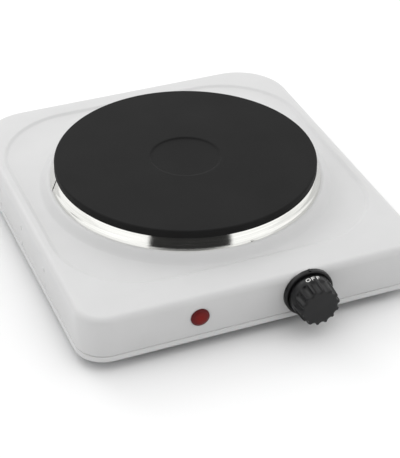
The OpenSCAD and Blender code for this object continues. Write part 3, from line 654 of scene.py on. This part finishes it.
def dial_plate():
    """Fixed ring behind the knob, with a raised rim and a small pointer on top."""
    trimmed = 0.6
    radius = (dial_high.x - dial_low.x) / 2 / MM - trimmed
    depth = (dial_high.y - dial_low.y) / MM
    bore_r = 5.4
    rim = radius - 2.1
    seat = depth - 0.8
    profile = [(bore_r, 0.0), (radius, 0.0), (radius, seat), (radius - 0.12, depth - 0.35),
               (radius - 0.4, depth - 0.08), (radius - 0.8, depth), (rim + 0.4, depth),
               (rim + 0.1, depth - 0.15), (rim, depth - 0.45), (rim - 0.05, seat), (bore_r, seat)]
    bm = facing_front(turned_band(profile, 160))
    top, height, width = radius + 0.7, 1.5, 1.6
    box = bmesh.ops.create_cube(bm, size=1)["verts"]
    for v in box:
        v.co = Vector((v.co.x * width, -depth / 2 + 0.1 + v.co.y * (depth - 0.6),
                       top - height / 2 + v.co.z * height)) * MM
    edges = list({e for v in box for e in v.link_edges})
    bmesh.ops.bevel(bm, geom=edges, offset=0.25 * MM, segments=2, affect="EDGES")
    return finish_piece("dial_plate", bm, "housing", ["knob_bezel"], PLASTIC,
                        sharp=42, origin=((dial_low.x + dial_high.x) / 2, dial_high.y, KNOB_Z))


def lamp_dome():
    """Round red lens: a stem in the wall, a flange on it and a low dome."""
    radius = (lens_high.x - lens_low.x) / 2 / MM
    wall_y = FRONT * MM + AXIS.y
    proud = (wall_y - lens_low.y) / MM
    stem_r = 3.9
    flange = 1.2
    dome_r = radius - 1.1
    profile = [(0, -1.0), (stem_r, -1.0), (stem_r, 0.0), (radius, 0.0), (radius, 0.55),
               (radius - 0.08, 0.85), (radius - 0.3, 1.05), (radius - 0.9, flange)]
    for k in range(9):
        a = math.pi / 2 * k / 9
        profile.append((dome_r * math.cos(a), flange + (proud - flange) * math.sin(a)))
    profile.append((0, proud))
    return finish_piece("lamp_dome", facing_front(turned(profile, 96)), "housing",
                        ["lamp_lens"], LENS, sharp=50,
                        origin=((lens_low.x + lens_high.x) / 2, wall_y,
                                (lens_low.z + lens_high.z) / 2))


# ---------------------------------------------------------------- CAD pieces that stay shown

def dress_cad_nodes():
    """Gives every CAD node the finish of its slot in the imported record."""
    slots = {part["node"]: part["material_slot"] for part in frame["record"]["subparts"]}
    for name, piece in frame["nodes"].items():
        material = FINISHES[slots[name]]
        if not piece.material_slots:
            piece.data.materials.append(material)
        for place in piece.material_slots:
            place.link = "OBJECT"
            place.material = material


# ---------------------------------------------------------------- stage, light, camera

def floor():
    """Pale matt ground, far wider than the view, in metres."""
    bm = bmesh.new()
    half = 4.0
    corners = [bm.verts.new((x, y, 0)) for x, y in
               ((-half, -half), (half, -half), (half, half), (-half, half))]
    bm.faces.new(corners)
    material = grained("pale_floor", (0.9, 0.9, 0.9), 0.004, 0.9, 12, 0.0, specular=0.0)
    ground = finish_piece("studio_floor", bm, None, [], material)


def room_light():
    """White room all round, with a dark opening low in front and a greyer stretch behind."""
    world = bpy.data.worlds.new("room")
    bpy.context.scene.world = world
    world.use_nodes = True
    tree = world.node_tree
    link = tree.links.new

    def math_node(operation, *values):
        node = tree.nodes.new("ShaderNodeMath")
        node.operation = operation
        for socket, value in zip(node.inputs, values):
            if isinstance(value, (int, float)):
                socket.default_value = value
            else:
                link(value, socket)
        return node.outputs[0]

    def fade(value, start, end):
        node = tree.nodes.new("ShaderNodeMapRange")
        node.interpolation_type = "SMOOTHSTEP"
        link(value, node.inputs["Value"])
        node.inputs["From Min"].default_value = start
        node.inputs["From Max"].default_value = end
        return node.outputs["Result"]

    place = tree.nodes.new("ShaderNodeTexCoord")
    parts = tree.nodes.new("ShaderNodeSeparateXYZ")
    link(place.outputs["Generated"], parts.inputs[0])
    x, y, z = parts.outputs
    azimuth = math_node("ARCTAN2", x, math_node("MULTIPLY", y, -1.0))
    height = math_node("ARCSINE", z)

    def opening(middle, half_width, soft_edge, top, soft_top):
        """Zero inside a low stretch of wall, given in degrees, and one everywhere else."""
        off_middle = math_node("ABSOLUTE", math_node("SUBTRACT", azimuth, math.radians(middle)))
        beside = fade(off_middle, math.radians(half_width), math.radians(half_width + soft_edge))
        above = fade(height, math.radians(top), math.radians(top + soft_top))
        return math_node("MAXIMUM", beside, above)

    lit = opening(-18, 30, 4, 36, 10)
    strength = math_node("MULTIPLY_ADD", lit, ROOM_LEVEL - ROOM_DARK, ROOM_DARK)
    greyed = math_node("MULTIPLY_ADD", opening(-138, 16, 16, 16, 12), 1 - ROOM_GREY, ROOM_GREY)
    strength = math_node("MULTIPLY", strength, greyed)
    background = tree.nodes["Background"]
    background.inputs["Color"].default_value = (1, 1, 1, 1)
    link(strength, background.inputs["Strength"])


def soft_light(name, place, target, size, power):
    """Square area light that faces a point."""
    light = bpy.data.lights.new(name, "AREA")
    light.size = size
    light.energy = power
    lamp = bpy.data.objects.new(name, light)
    bpy.context.scene.collection.objects.link(lamp)
    lamp.location = place
    aim = Vector(target) - Vector(place)
    lamp.rotation_euler = aim.to_track_quat("-Z", "Y").to_euler()


def camera():
    """Long lens from the front left, a little rolled, aimed over the plate's front half."""
    target = Vector((-0.0182, -0.06298, 0.048))
    distance, azimuth, elevation, roll = 1.01995, -22.43, 34.99, -0.44
    az, el, tilt = (math.radians(v) for v in (azimuth, elevation, roll))
    back = Vector((math.sin(az) * math.cos(el), -math.cos(az) * math.cos(el), math.sin(el)))
    right = (-back).cross(Vector((0, 0, 1))).normalized()
    down = (-back).cross(right)
    right, down = (math.cos(tilt) * right + math.sin(tilt) * down,
                   -math.sin(tilt) * right + math.cos(tilt) * down)
    data = bpy.data.cameras.new("camera")
    data.lens = 118.64
    data.sensor_width = 36
    view = bpy.data.objects.new("camera", data)
    bpy.context.scene.collection.objects.link(view)
    turn = Matrix((right, -down, back)).transposed().to_4x4()
    view.matrix_world = Matrix.Translation(target + back * distance) @ turn
    bpy.context.scene.camera = view


housing_shell()
cooking_plate()
trim_ring_band()
knob_grip()
dial_lettering()
dial_plate()
lamp_dome()
dress_cad_nodes()
floor()
room_light()
soft_light("rear_softbox", (-0.45, 1.35, 1.05), (0, 0, 0.04), 0.8, 5)
camera()
bpy.context.scene.view_settings.view_transform = "Standard"
